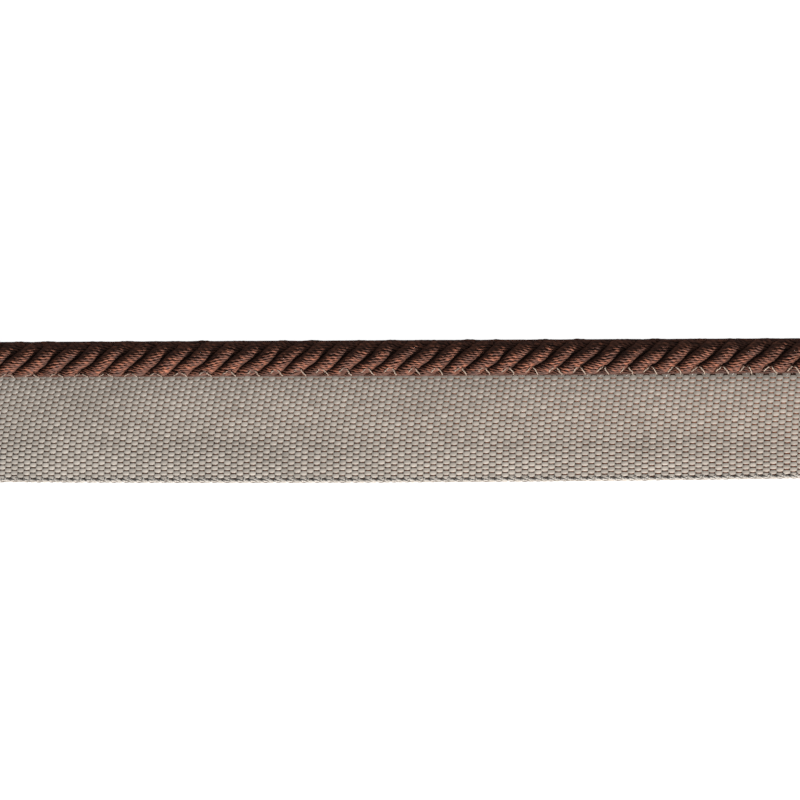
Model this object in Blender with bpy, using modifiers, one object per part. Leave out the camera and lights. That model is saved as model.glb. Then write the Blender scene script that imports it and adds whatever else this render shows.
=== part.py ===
"""Flanged twisted cord: a cut length of five-strand cord sewn along the edge of a flat woven tape.

The length runs along X and the cord lies on the +Y side. The strip rests on z = 0: the tape leaves the
cord at half its height, comes down beside it and lies flat from there to its outer edge.
"""

import math

import bmesh
import bpy

# Driving sizes, in metres
STRIP_LENGTH = 0.120
CORD_RADIUS = 0.0025
SEWN_SIDE = 0.00203  # from the cord's axis to the side that is drawn flat against the tape
TAPE_REACH = 0.01526  # from the cord's axis to the tape's outer edge, at the middle of the length
TAPE_THICKNESS = 0.001
JOIN_GAP = 0.0003  # between the cord's flat side and the tape's edge
FLAT_SPOT_DEPTH = 0.00015  # how far the cord settles where it rests

# The cord's twist
STRAND_COUNT = 5
STRAND_PITCH = 0.002827  # from ridge to ridge along the cord, at the middle
TWIST_EASING = 0.33  # the twist slackens towards +X, as a share of itself for each metre
GROOVE_PHASE = 0.642  # how far the middle of the length is past a groove, in pitches
STRAND_CENTRES = 0.00145  # from the cord's axis to each strand's
STRAND_RADIUS = CORD_RADIUS - STRAND_CENTRES
POINTS_PER_STRAND = 6
CORD_STEP = 0.001

# The tape's way down to the surface
JOIN_HEIGHT = 0.0020  # the tape's underside where it meets the cord
RAMP_RUN = 0.0090  # over which it comes down
EDGE_BOW = 0.108  # the outer edge draws in by this times the square of the way from the middle
RAMP_ROWS = 9
FLAT_ROWS = 2
TAPE_STEP = 0.002

# Shallow buckles in the ramp: where along the length, how long, and how high or deep
BUCKLES = (
    {"x": -0.040, "spread": 0.007, "rise": 0.00032},
    {"x": -0.026, "spread": 0.006, "rise": -0.00020},
    {"x": 0.004, "spread": 0.010, "rise": 0.00014},
    {"x": 0.036, "spread": 0.009, "rise": -0.00016},
)

# The cord's and the tape's own colours
CORD_BROWN = (0.085, 0.032, 0.022, 1.0)
TAPE_GREIGE = (0.335, 0.290, 0.245, 1.0)
YARN_ROUGHNESS = 0.85

CORD_AXIS_HEIGHT = CORD_RADIUS - FLAT_SPOT_DEPTH
CORD_AXIS_Y = (TAPE_REACH - CORD_RADIUS) / 2
JOIN_EDGE_Y = CORD_AXIS_Y - SEWN_SIDE - JOIN_GAP


def clear_scene():
    for old in list(bpy.data.objects):
        bpy.data.objects.remove(old, do_unlink=True)


def make_collection(name):
    made = bpy.data.collections.new(name)
    bpy.context.scene.collection.children.link(made)
    return made


def yarn_material(name, colour):
    made = bpy.data.materials.new(name)
    made.use_nodes = True
    shader = made.node_tree.nodes["Principled BSDF"]
    shader.inputs["Base Color"].default_value = colour
    shader.inputs["Roughness"].default_value = YARN_ROUGHNESS
    shader.inputs["Metallic"].default_value = 0.0
    return made


def stations(length, step):
    """Evenly spaced places along the strip, end to end."""
    count = round(length / step)
    return [length * (i / count - 0.5) for i in range(count + 1)]


def twist_angle(x):
    """How far a groove that starts straight above the axis has turned towards +Y at x."""
    grooves = x / STRAND_PITCH * (1 - TWIST_EASING * x) + GROOVE_PHASE
    return 2 * math.pi / STRAND_COUNT * grooves


def cord_section():
    """The outline of the strands side by side: each bulges between two grooves, the first one at the top."""
    outline = []
    sector = 2 * math.pi / STRAND_COUNT
    for strand in range(STRAND_COUNT):
        for step in range(POINTS_PER_STRAND):
            aside = sector * (step / POINTS_PER_STRAND - 0.5)
            reach = math.sqrt(STRAND_RADIUS**2 - (STRAND_CENTRES * math.sin(aside)) ** 2)
            radius = STRAND_CENTRES * math.cos(aside) + reach
            from_top = sector * (strand + 0.5) + aside
            outline.append((-radius * math.sin(from_top), radius * math.cos(from_top)))
    return outline


def section_curve(collection, outline):
    curve = bpy.data.curves.new("cord_section", "CURVE")
    curve.dimensions = "2D"
    spline = curve.splines.new("POLY")
    spline.points.add(len(outline) - 1)
    for point, (across, up) in zip(spline.points, outline):
        point.co = (across, up, 0, 1)
    spline.use_cyclic_u = True
    guide = bpy.data.objects.new("cord_section", curve)
    guide.hide_render = True
    collection.objects.link(guide)
    return guide


def mesh_from(source, name, collection):
    """A plain mesh object from a curve, with its caps welded to its sides."""
    graph = bpy.context.evaluated_depsgraph_get()
    mesh = bpy.data.meshes.new_from_object(source.evaluated_get(graph))
    work = bmesh.new()
    work.from_mesh(mesh)
    bmesh.ops.remove_doubles(work, verts=work.verts, dist=1e-6)
    bmesh.ops.recalc_face_normals(work, faces=work.faces)
    work.to_mesh(mesh)
    work.free()
    made = bpy.data.objects.new(name, mesh)
    made.matrix_world = source.matrix_world
    collection.objects.link(made)
    bpy.data.objects.remove(source, do_unlink=True)
    return made


def build_cord(collection, guides):
    """The twisted cord: its section swept along its axis and turned by a curve's tilt."""
    guide = section_curve(guides, cord_section())
    curve = bpy.data.curves.new("twisted_cord", "CURVE")
    curve.dimensions = "3D"
    curve.twist_mode = "Z_UP"
    curve.bevel_mode = "OBJECT"
    curve.bevel_object = guide
    curve.use_fill_caps = True
    places = stations(STRIP_LENGTH, CORD_STEP)
    spline = curve.splines.new("POLY")
    spline.points.add(len(places) - 1)
    for point, x in zip(spline.points, places):
        point.co = (x, CORD_AXIS_Y, CORD_AXIS_HEIGHT, 1)
        point.tilt = -twist_angle(x)
    swept = bpy.data.objects.new("cord_path", curve)
    collection.objects.link(swept)
    bpy.context.view_layer.update()
    cord = mesh_from(swept, "twisted_cord", collection)
    for vertex in cord.data.vertices:
        vertex.co.z = max(vertex.co.z, 0.0)
        vertex.co.y = max(vertex.co.y, CORD_AXIS_Y - SEWN_SIDE)
    cord.data.materials.append(yarn_material("brown_cord_yarn", CORD_BROWN))
    cord.data.shade_smooth()
    bpy.data.objects.remove(guide, do_unlink=True)
    return cord


def outer_edge(x):
    """The tape's outer edge, which bows gently along the length."""
    return CORD_AXIS_Y - TAPE_REACH + EDGE_BOW * x**2


def underside(x, across):
    """The height of the tape's underside, this far across from its joined edge."""
    way_down = min(across / RAMP_RUN, 1.0)
    height = JOIN_HEIGHT * (1 - math.sin(math.pi / 2 * way_down))
    swell = math.sin(math.pi * way_down) ** 2
    for buckle in BUCKLES:
        offset = (x - buckle["x"]) / buckle["spread"]
        height += buckle["rise"] * swell * math.exp(-(offset**2))
    return max(height, 0.0)


def build_tape(collection):
    """The woven tape: its underside as an open surface, given its thickness upwards."""
    places = stations(STRIP_LENGTH, TAPE_STEP)
    rows = RAMP_ROWS + FLAT_ROWS
    work = bmesh.new()
    bmesh.ops.create_grid(work, x_segments=len(places) - 1, y_segments=rows, size=0.5)
    for vertex in work.verts:
        column = round((vertex.co.x + 0.5) * (len(places) - 1))
        row = round((0.5 - vertex.co.y) * rows)
        x = places[column]
        width = JOIN_EDGE_Y - outer_edge(x)
        if row <= RAMP_ROWS:
            across = RAMP_RUN * row / RAMP_ROWS
        else:
            across = RAMP_RUN + (width - RAMP_RUN) * (row - RAMP_ROWS) / FLAT_ROWS
        vertex.co = (x, JOIN_EDGE_Y - across, underside(x, across))
    mesh = bpy.data.meshes.new("woven_tape")
    work.to_mesh(mesh)
    work.free()
    tape = bpy.data.objects.new("woven_tape", mesh)
    collection.objects.link(tape)
    wall = tape.modifiers.new("thickness", "SOLIDIFY")
    wall.thickness = TAPE_THICKNESS
    wall.offset = 1.0
    wall.use_even_offset = True
    tape.data.materials.append(yarn_material("greige_tape_yarn", TAPE_GREIGE))
    tape.data.shade_smooth()
    return tape


def main():
    clear_scene()
    parts = make_collection("flanged_twisted_cord")
    guides = make_collection("guides")
    build_cord(parts, guides)
    build_tape(parts)


main()
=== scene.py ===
# %% [markdown]
# # Flanged twisted cord
#
# This is a cut length of trim: a brown cord of five strands, sewn along one edge of a flat woven tape. Up
# close the whole look of it comes from yarns, so this script lays yarns, the way a cord maker's walk and
# a ribbon loom do: the cord is wound from fine yarns, the tape is woven from warp and weft, and a pale
# thread joins the two.
#
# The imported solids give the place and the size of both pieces. The script starts from them and never
# moves them.

# %% Load the frame
import math

import bmesh
import bpy
import numpy as np
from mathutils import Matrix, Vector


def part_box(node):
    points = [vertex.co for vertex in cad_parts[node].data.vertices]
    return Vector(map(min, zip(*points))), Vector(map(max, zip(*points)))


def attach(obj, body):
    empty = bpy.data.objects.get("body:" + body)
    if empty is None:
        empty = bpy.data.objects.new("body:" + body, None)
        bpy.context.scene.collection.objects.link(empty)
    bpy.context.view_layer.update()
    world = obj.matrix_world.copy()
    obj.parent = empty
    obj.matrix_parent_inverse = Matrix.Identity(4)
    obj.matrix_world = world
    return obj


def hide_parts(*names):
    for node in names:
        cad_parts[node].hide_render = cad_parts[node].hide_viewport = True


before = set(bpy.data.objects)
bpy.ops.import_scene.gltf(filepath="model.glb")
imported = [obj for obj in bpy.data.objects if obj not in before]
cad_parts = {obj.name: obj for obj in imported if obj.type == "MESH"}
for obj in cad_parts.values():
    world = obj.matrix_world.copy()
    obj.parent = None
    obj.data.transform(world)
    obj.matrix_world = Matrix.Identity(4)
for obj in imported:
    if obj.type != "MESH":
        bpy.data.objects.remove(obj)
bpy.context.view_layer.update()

# %% [markdown]
# ## Sizes
#
# All lengths are in metres. The cord runs along X on the +Y side, and the tape lies beside it and comes
# down to the surface, which is z = 0. The cord's radius and the tape's reach come from the solids' boxes;
# the twist, the weave's pitch and the seam are counted on the real trim.

# %% The strip's own sizes
cord_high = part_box("twisted_cord")[1]
tape_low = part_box("woven_tape")[0]

CORD_RADIUS = 0.0025
FLAT_SPOT_DEPTH = 0.00015
SEWN_SIDE = 0.00203
HALF_LENGTH = cord_high[0]
AXIS_HEIGHT = CORD_RADIUS - FLAT_SPOT_DEPTH
AXIS_Y = cord_high[1] - CORD_RADIUS
SEAM_Y = AXIS_Y - SEWN_SIDE
OUTER_EDGE_Y = tape_low[1]
TAPE_WIDTH = SEAM_Y - OUTER_EDGE_Y
SEAM_SHIFT = 0.00003
SEAM_SLANT = -0.00273
LOOPS_SHOW_FROM = 0.004
LOOPS_SHOW_BY = 0.043
LOOP_ROOM = 0.00034


def seam_y(x):
    """The tape's sewn edge runs at a slight slant to the cord."""
    return SEAM_Y + SEAM_SHIFT + SEAM_SLANT * x


def sewn_side(x):
    return AXIS_Y - seam_y(x)


def way_from(value, start, end):
    """How far a value is on its way from start to end, from 0 to 1."""
    return np.clip((value - start) / (end - start), 0, 1)


def loop_room(x):
    """Towards the right end the tape's edge stands off the cord a little, and its loops show."""
    return LOOP_ROOM * way_from(x, LOOPS_SHOW_FROM, LOOPS_SHOW_BY)


print(f"cord axis at y {AXIS_Y:.5f}, tape {TAPE_WIDTH * 1000:.2f} mm wide")
print(f"strip {2 * HALF_LENGTH * 1000:.0f} mm long")

# The cord's twist, as on the solid
STRANDS = 5
STRAND_PITCH = 0.002827
TWIST_EASING = 0.33
GROOVE_PHASE = 0.642
STRAND_CENTRES = 0.00145

# The stitches' places along the seam
STITCH_PITCH = 0.002966
STITCH_START = -0.0615
STITCHES = 41
SLACK_STITCH = 13
SLACK_SPREAD = 6.0
SLACK_SHIFT = 0.00095


def stitch_place(number):
    """Where a stitch's first leg meets the tape."""
    slack = SLACK_SHIFT * math.exp(-(((number - SLACK_STITCH) / SLACK_SPREAD) ** 2))
    return STITCH_START + STITCH_PITCH * number + slack


# The tape's way down to the surface, as on the solid
JOIN_HEIGHT = 0.0020
RAMP_RUN = 0.0090
EDGE_BOW = 0.108

# Its soft buckles: the place along the strip, the spread and the rise of each. The two troughs are shallower
# than the solid's, because the low light would draw deeper ones as dark streaks.
BUCKLES = (
    (-0.040, 0.007, 0.00032),
    (-0.026, 0.006, -0.00006),
    (0.004, 0.010, 0.00014),
    (0.036, 0.009, -0.00005),
)

# %% [markdown]
# ## Camera
#
# The trim is seen from straight above through a long lens, so its two edges stay parallel. The picture is
# 800 pixels wide and shows 100 mm of the strip. The strip climbs to the right by a quarter of a degree,
# which is a roll of the camera here, because the trim itself lies square in its frame.

# %% Place the camera
PICTURE_WIDTH = 0.100
PICTURE_ROLL = -0.27
VIEW_CENTRE_Y = 0.00141
CAMERA_HEIGHT = 0.75
SENSOR = 36.0


def linked(name, data):
    """A new object in the scene."""
    made = bpy.data.objects.new(name, data)
    bpy.context.scene.collection.objects.link(made)
    return made


camera_data = bpy.data.cameras.new("camera")
camera_data.sensor_width = SENSOR
camera_data.lens = SENSOR * CAMERA_HEIGHT / PICTURE_WIDTH
camera = linked("camera", camera_data)
camera.location = (0, VIEW_CENTRE_Y, CAMERA_HEIGHT)
camera.rotation_euler = (0, 0, math.radians(PICTURE_ROLL))
bpy.context.scene.camera = camera
print("lens", round(camera_data.lens), "mm")

# %% [markdown]
# ## Small helpers for node trees
#
# Every tree below is built by the same few steps: make a node, feed its sockets with values or with other
# sockets, and read its output. A formula such as *sine of x times a pitch* is a chain of Math nodes, so
# `calc` makes one, and `times`, `plus` and `times_plus` are short for the three that come up most.

# %% Helpers that build nodes
def feed(tree, socket, value):
    """Link a socket to another one, or give it a plain value."""
    if isinstance(value, bpy.types.NodeSocket):
        tree.links.new(value, socket)
    else:
        socket.default_value = value


def feed_all(tree, made, feeds):
    for name, value in feeds.items():
        feed(tree, made.inputs[name], value)


def node(tree, kind, feeds=None, **settings):
    """A new node with its settings made and its named sockets fed."""
    made = tree.nodes.new(kind)
    for name, value in settings.items():
        setattr(made, name, value)
    feed_all(tree, made, feeds or {})
    return made


def calc(tree, operation, *values):
    """One Math node. The values are numbers or sockets."""
    made = tree.nodes.new("ShaderNodeMath")
    made.operation = operation
    for socket, value in zip(made.inputs, values):
        feed(tree, socket, value)
    return made.outputs[0]


def times(tree, first, second):
    return calc(tree, "MULTIPLY", first, second)


def plus(tree, first, second):
    return calc(tree, "ADD", first, second)


def times_plus(tree, first, second, third):
    """The first value times the second, plus the third."""
    return calc(tree, "MULTIPLY_ADD", first, second, third)


def combined(tree, x, y, z):
    return node(tree, "ShaderNodeCombineXYZ", {"X": x, "Y": y, "Z": z}).outputs[0]


def separated(tree, vector):
    """The vector's X, Y and Z."""
    return tuple(node(tree, "ShaderNodeSeparateXYZ", {"Vector": vector}).outputs)


def vector_sum(tree, first, second):
    return node(tree, "ShaderNodeVectorMath", {0: first, 1: second}, operation="ADD").outputs[0]


def turned(tree, vector, angle):
    """The vector turned about X, where a growing angle goes from +Z towards +Y."""
    feeds = {"Vector": vector, "Angle": times(tree, angle, -1.0)}
    return node(tree, "ShaderNodeVectorRotate", feeds, rotation_type="X_AXIS").outputs[0]


def wavering(tree, vector, scale, seed):
    """Smooth noise from about -1 to 1, different for each seed."""
    feeds = {"Vector": vector, "Scale": scale, "W": seed, "Detail": 1.0}
    noise = node(tree, "ShaderNodeTexNoise", feeds, noise_dimensions="4D")
    return times_plus(tree, noise.outputs[0], 4.0, -2.0)


# %% Helpers that build whole trees
SOCKETS = {
    int: "NodeSocketInt",
    float: "NodeSocketFloat",
    tuple: "NodeSocketVector",
    str: "NodeSocketMaterial",
}


def named_inputs(tree, defaults):
    """A named input for each default, whose type gives the socket's. Returns the sockets inside the tree."""
    for name, default in defaults.items():
        label = name.replace("_", " ")
        made = tree.interface.new_socket(label, in_out="INPUT", socket_type=SOCKETS[type(default)])
        if type(default) is not str:
            made.default_value = default
    return node(tree, "NodeGroupInput").outputs


def new_tree(name, **sizes):
    """An empty Geometry Nodes tree with a named input for each size."""
    tree = bpy.data.node_groups.new(name, "GeometryNodeTree")
    for way in ("INPUT", "OUTPUT"):
        tree.interface.new_socket("Geometry", in_out=way, socket_type="NodeSocketGeometry")
    return tree, named_inputs(tree, sizes)


def new_group(name, outputs, **inputs):
    """An empty shader group with named inputs, and outputs that are numbers."""
    tree = bpy.data.node_groups.new(name, "ShaderNodeTree")
    for label in outputs:
        tree.interface.new_socket(label, in_out="OUTPUT", socket_type="NodeSocketFloat")
    return tree, named_inputs(tree, inputs)


def realized(tree, geometry):
    return node(tree, "GeometryNodeRealizeInstances", {"Geometry": geometry}).outputs[0]


def copied(tree, points, instance):
    """A real copy of the instance on each point."""
    copies = node(tree, "GeometryNodeInstanceOnPoints", {"Points": points, "Instance": instance})
    return realized(tree, copies.outputs[0])


def tube_along_x(tree, sides, rings, length, middle=0.0):
    """A straight tube of radius 1 along X."""
    feeds = {"Vertices": sides, "Side Segments": rings, "Radius": 1.0, "Depth": length}
    tube = node(tree, "GeometryNodeMeshCylinder", feeds).outputs["Mesh"]
    place = combined(tree, middle, 0.0, 0.0)
    feeds = {"Geometry": tube, "Rotation": (0, math.pi / 2, 0), "Translation": place}
    return node(tree, "GeometryNodeTransform", feeds).outputs[0]


def position(tree):
    return node(tree, "GeometryNodeInputPosition").outputs[0]


def stored(tree, geometry, name, value, data_type="FLOAT"):
    """The geometry with an attribute stored on its points."""
    feeds = {"Geometry": geometry, "Name": name, "Value": value}
    made = node(tree, "GeometryNodeStoreNamedAttribute", feeds, data_type=data_type, domain="POINT")
    return made.outputs[0]


def read_attribute(tree, name, data_type="FLOAT"):
    return node(tree, "GeometryNodeInputNamedAttribute", {"Name": name}, data_type=data_type).outputs[0]


def finish_tree(tree, geometry, place, material):
    """Every tree ends alike: points in place, smooth faces, real meshes and the material."""
    if place is not None:
        feeds = {"Geometry": geometry, "Position": place}
        geometry = node(tree, "GeometryNodeSetPosition", feeds).outputs[0]
    smooth = node(tree, "GeometryNodeSetShadeSmooth", {"Geometry": geometry})
    real = realized(tree, smooth.outputs[0])
    clad = node(tree, "GeometryNodeSetMaterial", {"Geometry": real, "Material": material})
    node(tree, "NodeGroupOutput", {"Geometry": clad.outputs[0]})


# %% Helpers that make and change meshes
def kept_plain(made, modifier):
    """Keep what a modifier makes as a plain mesh, and take the modifier off."""
    graph = bpy.context.evaluated_depsgraph_get()
    mesh = bpy.data.meshes.new_from_object(made.evaluated_get(graph))
    made.modifiers.remove(modifier)
    made.data = mesh
    mesh.name = made.name
    return made


def grow(name, tree, start=None, **sizes):
    """Run a tree on an empty mesh or on a starting one, and keep what it makes."""
    made = linked(name, start or bpy.data.meshes.new(name))
    modifier = made.modifiers.new("grow", "NODES")
    modifier.node_group = tree
    for item in tree.interface.items_tree:
        size = item.name.replace(" ", "_")
        if item.in_out == "INPUT" and size in sizes:
            modifier[item.identifier] = sizes[size]
    return kept_plain(made, modifier)


def grid_mesh(name, columns, rows, size):
    """A flat grid from -size to size."""
    mesh = bpy.data.meshes.new(name)
    work = bmesh.new()
    bmesh.ops.create_grid(work, x_segments=columns, y_segments=rows, size=size)
    work.to_mesh(mesh)
    work.free()
    return mesh


def array_of(items, name, width=1, kind=np.float32):
    """One property of all of a mesh's items, as a flat array."""
    found = np.empty(len(items) * width, kind)
    items.foreach_get(name, found)
    return found


def points_of(mesh):
    return array_of(mesh.vertices, "co", 3).reshape(-1, 3).astype(np.float64)


def put_points(mesh, points):
    mesh.vertices.foreach_set("co", points.astype(np.float32).ravel())
    mesh.update()


def triangle_count(mesh):
    return sum(len(face.vertices) - 2 for face in mesh.polygons)

# %% [markdown]
# ## Yarn finishes
#
# A yarn is a bundle of fibres, so a close look shows fine streaks that run along it and coil round it a
# little. The trees below keep each point's place on the straight yarn, from before it was bent, in an
# attribute called `rest`. The streaks are noise on that place, drawn out along the yarn, so they follow
# it through every bend. One node group makes them for the cord, the tape and the thread, each with its
# own sizes.

# %% The shared fibre group
FINE_FIBRES = 0.5
BROAD_FIBRES = 0.11
STREAK_FROM = 0.36
STREAK_TO = 0.64


def fibre_group():
    """Streaks along a yarn. Out come a mask for the colour and a height for the bump."""
    tree, given = new_group(
        "fibre_streaks",
        ("Streak", "Height"),
        Rest=(0, 0, 0),
        Fibre_Length=0.0012,
        Fibre_Width=0.00003,
    )
    along, across, up = separated(tree, given["Rest"])
    place = combined(
        tree,
        calc(tree, "DIVIDE", along, given["Fibre Length"]),
        calc(tree, "DIVIDE", across, given["Fibre Width"]),
        calc(tree, "DIVIDE", up, given["Fibre Width"]),
    )
    feeds = {"Vector": place, "Scale": FINE_FIBRES, "Detail": 2.0}
    fine = node(tree, "ShaderNodeTexNoise", feeds).outputs[0]
    feeds = {"Vector": place, "Scale": BROAD_FIBRES, "Detail": 1.0}
    broad = node(tree, "ShaderNodeTexNoise", feeds).outputs[0]
    both = times_plus(tree, broad, 0.5, times(tree, fine, 0.5))
    feeds = {"Value": both, "From Min": STREAK_FROM, "From Max": STREAK_TO, "To Min": 0.0, "To Max": 1.0}
    streak = node(tree, "ShaderNodeMapRange", feeds).outputs[0]
    node(tree, "NodeGroupOutput", {"Streak": streak, "Height": fine})
    return tree


FIBRES = fibre_group()
print("fibre group with", len(FIBRES.nodes), "nodes")


# %% [markdown]
# The material itself is a Principled BSDF. Its colour goes from the yarn's shaded tone to its lit tone, a
# painted shade and a painted highlight of one colour, by the streaks and by each yarn's own `tone`, because
# no two yarns take the dye alike. In the gaps a deep colour is painted shade. Sheen gives the soft edge that
# spun fibre has. A second group shifts the colour slowly along and across the strip: darker towards the
# seam, which is painted shade, and a little different from the left end to the right.

# %% Yarn material
def drift_group():
    """A slow change of shade over the strip, and the shares of the way from the seam and the left end."""
    tree, given = new_group(
        "shade_drift",
        ("Patch", "From Seam", "Along"),
        Place=(0, 0, 0),
        Seam_Y=0.0,
        Width=0.01,
        Length=0.1,
        Patch_Size=0.01,
    )
    feeds = {"Vector": given["Place"], "Scale": calc(tree, "DIVIDE", 1.0, given["Patch Size"])}
    span = node(tree, "ShaderNodeVectorMath", feeds, operation="SCALE").outputs[0]
    patch = node(tree, "ShaderNodeTexNoise", {"Vector": span, "Scale": 1.0, "Detail": 1.5}).outputs[0]
    x, y, _ = separated(tree, given["Place"])
    share = calc(tree, "DIVIDE", calc(tree, "SUBTRACT", given["Seam Y"], y), given["Width"])
    along = plus(tree, calc(tree, "DIVIDE", x, given["Length"]), 0.5)
    node(tree, "NodeGroupOutput", {"Patch": patch, "From Seam": share, "Along": along})
    return tree


DRIFT = drift_group()
WHITE = (1, 1, 1, 1)


def attribute(tree, name, output):
    return node(tree, "ShaderNodeAttribute", attribute_name=name).outputs[output]


def mixed(tree, factor, first, second, blend_type="MIX"):
    made = node(tree, "ShaderNodeMix", data_type="RGBA", clamp_factor=True, blend_type=blend_type)
    for label, value in (("Factor", factor), ("A", first), ("B", second)):
        socket = next(s for s in made.inputs if s.name == label and s.enabled)
        feed(tree, socket, value)
    return next(s for s in made.outputs if s.enabled)


SHEEN_ROUGHNESS = 0.4


def yarn_material(name, deep, shade, lit, finish, painted_seam_shade=WHITE, left_tint=WHITE, right_tint=WHITE):
    """A yarn's material: painted shade (deep) in the gaps, from a painted shade to a painted highlight
    (shade to lit) on its back, and tints over the strip.
    """
    made = bpy.data.materials.new(name)
    made.use_nodes = True
    tree = made.node_tree
    feeds = {
        "Rest": attribute(tree, "rest", "Vector"),
        "Fibre Length": finish["fibre_length"],
        "Fibre Width": finish["fibre_width"],
    }
    fibres = node(tree, "ShaderNodeGroup", feeds, node_tree=FIBRES).outputs
    feeds = {
        "Place": node(tree, "ShaderNodeTexCoord").outputs["Object"],
        "Seam Y": SEAM_Y,
        "Width": TAPE_WIDTH,
        "Length": 2 * HALF_LENGTH,
        "Patch Size": finish["patch_size"],
    }
    drift = node(tree, "ShaderNodeGroup", feeds, node_tree=DRIFT).outputs

    tone = times(tree, attribute(tree, "tone", "Fac"), finish["tone_share"])
    patch = times_plus(tree, drift["Patch"], finish["patch_share"], tone)
    amount = times_plus(tree, fibres["Streak"], finish["streak_share"], patch)
    colour = mixed(tree, amount, shade, lit)
    for way, near, far in (("From Seam", painted_seam_shade, WHITE), ("Along", left_tint, right_tint)):
        colour = mixed(tree, 1.0, colour, mixed(tree, drift[way], near, far), "MULTIPLY")
    # Where the yarn's shade mask is low, the colour goes to the deep one: painted shade.
    colour = mixed(tree, attribute(tree, "painted_light_mask", "Fac"), deep, colour)

    feeds = {"Strength": finish["bump"], "Distance": finish["fibre_width"], "Height": fibres["Height"]}
    bump = node(tree, "ShaderNodeBump", feeds)
    feeds = {
        "Base Color": colour,
        "Roughness": times_plus(tree, fibres["Streak"], -finish["polish"], finish["roughness"]),
        "Sheen Weight": finish["sheen"],
        "Sheen Roughness": SHEEN_ROUGHNESS,
        "Sheen Tint": lit,
        "Specular IOR Level": finish["specular"],
        "Normal": bump.outputs["Normal"],
    }
    feed_all(tree, tree.nodes["Principled BSDF"], feeds)
    return made


CORD_FINISH = {
    "fibre_length": 0.0011,
    "fibre_width": 0.00004,
    "patch_size": 0.006,
    "tone_share": 0.70,
    "patch_share": 0.20,
    "streak_share": 0.30,
    "roughness": 0.70,
    "polish": 0.12,
    "sheen": 0.05,
    "specular": 0.25,
    "bump": 0.5,
}
TAPE_FINISH = {
    "fibre_length": 0.0009,
    "fibre_width": 0.00005,
    "patch_size": 0.012,
    "tone_share": 0.45,
    "patch_share": 0.15,
    "streak_share": 0.45,
    "roughness": 0.50,
    "polish": 0.10,
    "sheen": 0.10,
    "specular": 0.45,
    "bump": 0.3,
}
# Each yarn's deep colour is painted shade in its gaps, and its shade and lit colours are a painted shade and
# a painted highlight of one colour.
cord_yarn = yarn_material(
    "brown_cord_yarn",
    deep=(0.036, 0.018, 0.013, 1),
    shade=(0.070, 0.031, 0.024, 1),
    lit=(0.400, 0.143, 0.080, 1),
    finish=CORD_FINISH,
)
# The strands' hearts are darker still: painted shade inside the cord.
cord_heart = yarn_material(
    "shaded_cord_heart",
    deep=(0.015, 0.007, 0.005, 1),
    shade=(0.050, 0.022, 0.016, 1),
    lit=(0.130, 0.054, 0.036, 1),
    finish=CORD_FINISH,
)
# The warp is darker towards the seam: that seam tint is painted shade.
warp_yarn = yarn_material(
    "greige_warp",
    deep=(0.130, 0.105, 0.085, 1),
    shade=(0.315, 0.290, 0.264, 1),
    lit=(0.680, 0.629, 0.579, 1),
    painted_seam_shade=(0.31, 0.308, 0.303, 1),
    left_tint=(0.98, 0.98, 0.95, 1),
    right_tint=(1.03, 0.995, 0.945, 1),
    finish=TAPE_FINISH,
)
# The weft is painted darker here than at its turns along the edges: painted shade in the slits and painted
# light on the turns.
weft_yarn = yarn_material(
    "brown_weft",
    deep=(0.045, 0.024, 0.014, 1),
    shade=(0.078, 0.041, 0.023, 1),
    lit=(0.135, 0.072, 0.041, 1),
    left_tint=(0.80, 0.95, 1.15, 1),
    right_tint=(1.35, 0.85, 0.60, 1),
    finish=TAPE_FINISH,
)
edge_yarn = yarn_material(
    "pale_edge_weft",
    deep=(0.250, 0.200, 0.160, 1),
    shade=(0.310, 0.290, 0.265, 1),
    lit=(0.540, 0.515, 0.480, 1),
    finish=TAPE_FINISH,
)
thread_yarn = yarn_material(
    "pale_sewing_thread",
    deep=(0.200, 0.140, 0.100, 1),
    shade=(0.260, 0.190, 0.145, 1),
    lit=(0.520, 0.410, 0.330, 1),
    left_tint=(0.62, 0.58, 0.58, 1),
    right_tint=(1.05, 1.05, 1.05, 1),
    finish=TAPE_FINISH,
)
print("materials:", ", ".join(material.name for material in bpy.data.materials))

# %% [markdown]
# ## Winding the cord
#
# The cord has five strands, laid round each other like "/" (a Z twist). Each strand is itself a twist of
# fine yarns that turns the other way, so on the outside of the cord the two turns cancel and the yarns
# run along it. That is what keeps a rope from unwinding, and it is why the real cord shows short dashes
# along its length and not across.
#
# A yarn's path is then two turns, one inside the other. A tree can say just that: it starts from straight
# tubes, turns each one about its strand, and turns the strand about the cord. Cutting every tube square
# across the cord keeps neighbours touching at any slant.

# %% The cord's tree
CUT_EASING = 0.002
REST_STEP = 0.01
LUMP_SCALE = 450.0
LUMP_STEP = 3.7
LUMP_SWELL = 0.12
LUMP_TURN = 0.09
LUMP_ON_PLIES = 0.3
STRAY_SCALE = 0.7
STRAY_SEED = 9.0
STRAY_SIZE = 0.00004
PLY_STEP = 0.37
PLY_MIDDLE = 0.65
TONE_POWER = 1.4
TOP_SHARE = 0.55
TOP_MIDDLE = 0.5
PLY_SHARE = 0.7
PLY_LEAST = 0.3


def straight_yarns(tree, given):
    """Straight tubes along X, all in one place, each with its number in `yarn`."""
    tube = tube_along_x(tree, given["Sides"], given["Rings"], given["Length"])
    places = node(tree, "GeometryNodeMeshLine", {"Count": given["Yarns"], "Offset": (0, 0, 0)}).outputs[0]
    index = node(tree, "GeometryNodeInputIndex").outputs[0]
    return copied(tree, stored(tree, places, "yarn", index), tube)


def crowded_place(tree, given, even, yarn, step):
    """Move a ring along. Rings stand closer where their yarn is on the outside, but not at the cut ends."""
    turn = times_plus(tree, yarn, step, times(tree, even, given["Yarn Turn"]))
    inwards = times(tree, calc(tree, "ABSOLUTE", even), -1.0)
    from_end = times_plus(tree, given["Length"], 0.5, inwards)
    eased = calc(tree, "MINIMUM", calc(tree, "DIVIDE", from_end, CUT_EASING), given["Crowding"])
    shift = calc(tree, "DIVIDE", times(tree, eased, calc(tree, "SINE", turn)), given["Yarn Turn"])
    return calc(tree, "SUBTRACT", even, shift)


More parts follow.
